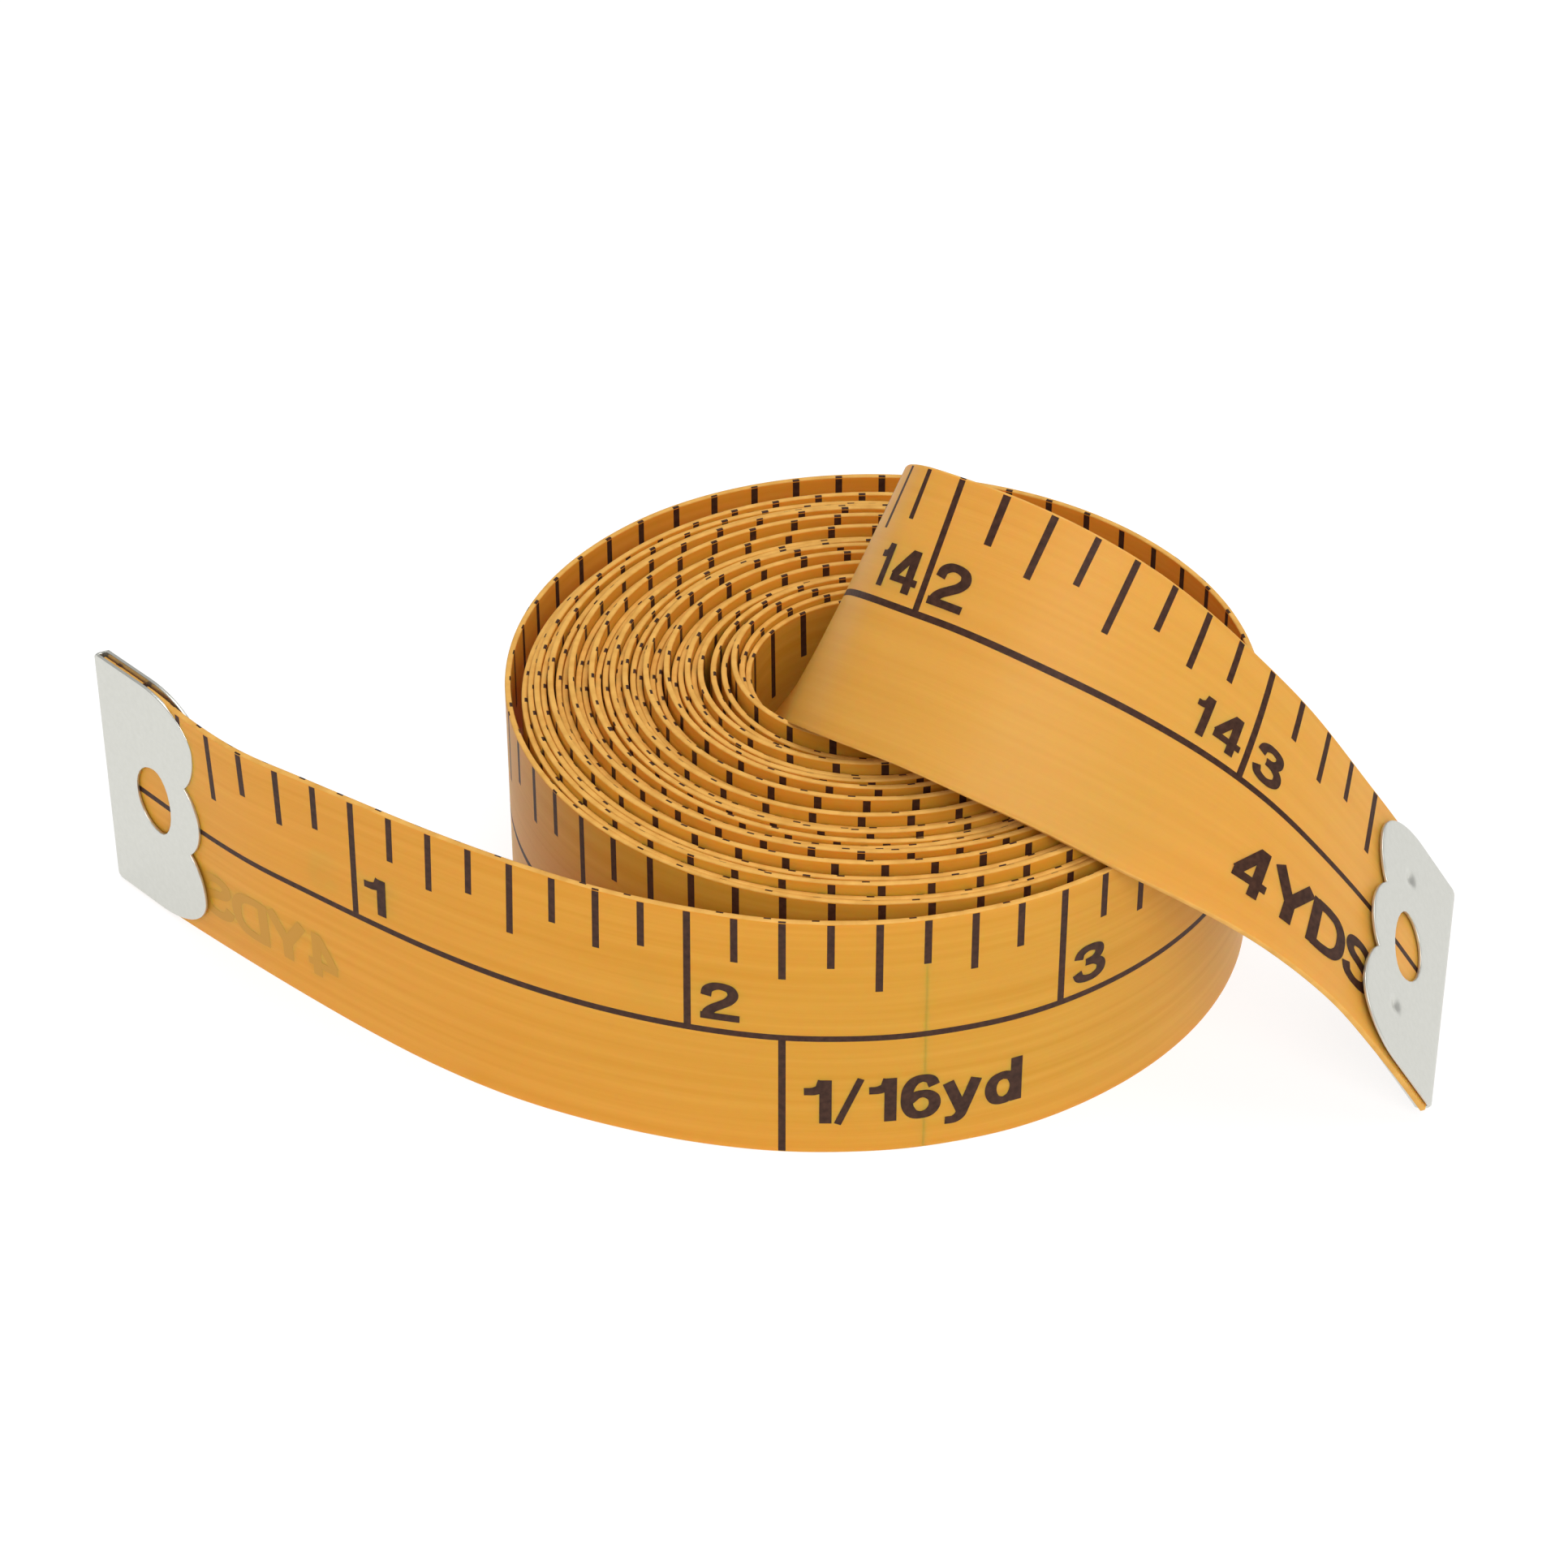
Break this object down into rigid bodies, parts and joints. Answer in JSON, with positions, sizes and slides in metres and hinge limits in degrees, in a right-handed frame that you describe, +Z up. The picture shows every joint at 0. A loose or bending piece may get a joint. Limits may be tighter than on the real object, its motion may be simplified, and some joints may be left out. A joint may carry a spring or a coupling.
{
  "type": "cloth tape measure",
  "caption": "Narrow coated-cloth measuring tape wound loosely on its edge, both ends free and springy, with a folded metal clip on each end.",
  "frame": {"origin": "middle of the bounding box, at the level of the table that the tape stands on", "axes": "+Z up, across the band; the picture looks along +Y, so +X is to its right: the outer end lies towards -X and the inner end towards +X"},
  "size_m": [0.0944, 0.0536, 0.0372],
  "materials": {
    "coated_band": "satin vinyl coating over woven cloth, orange yellow",
    "plated_metal": "pale satin plating on thin folded sheet",
    "scale_ink": "dark brown printed ink"
  },
  "bodies": {
    "coil": {"coiled_turns": "coated_band", "inner_rise": "coated_band"},
    "outer_end": {"outer_free_end": "coated_band", "outer_end_clip": "plated_metal"},
    "inner_end": {"inner_free_end": "coated_band", "inner_end_clip": "plated_metal"}
  },
  "joints": [
    {"name": "outer_end_swing", "type": "hinge", "parent": "coil", "child": "outer_end", "pos_m": [0.00683, -0.02648, 0.00953], "axis": [0, 0, 1], "range_deg": [-5, 30], "stiffness_Nm_per_rad": 0.0018},
    {"name": "inner_end_lift", "type": "hinge", "parent": "coil", "child": "inner_end", "pos_m": [0.00596, -0.00528, 0.0293], "axis": [-0.383, -0.535, -0.753], "range_deg": [0, 35], "stiffness_Nm_per_rad": 0.0018}
  ]
}
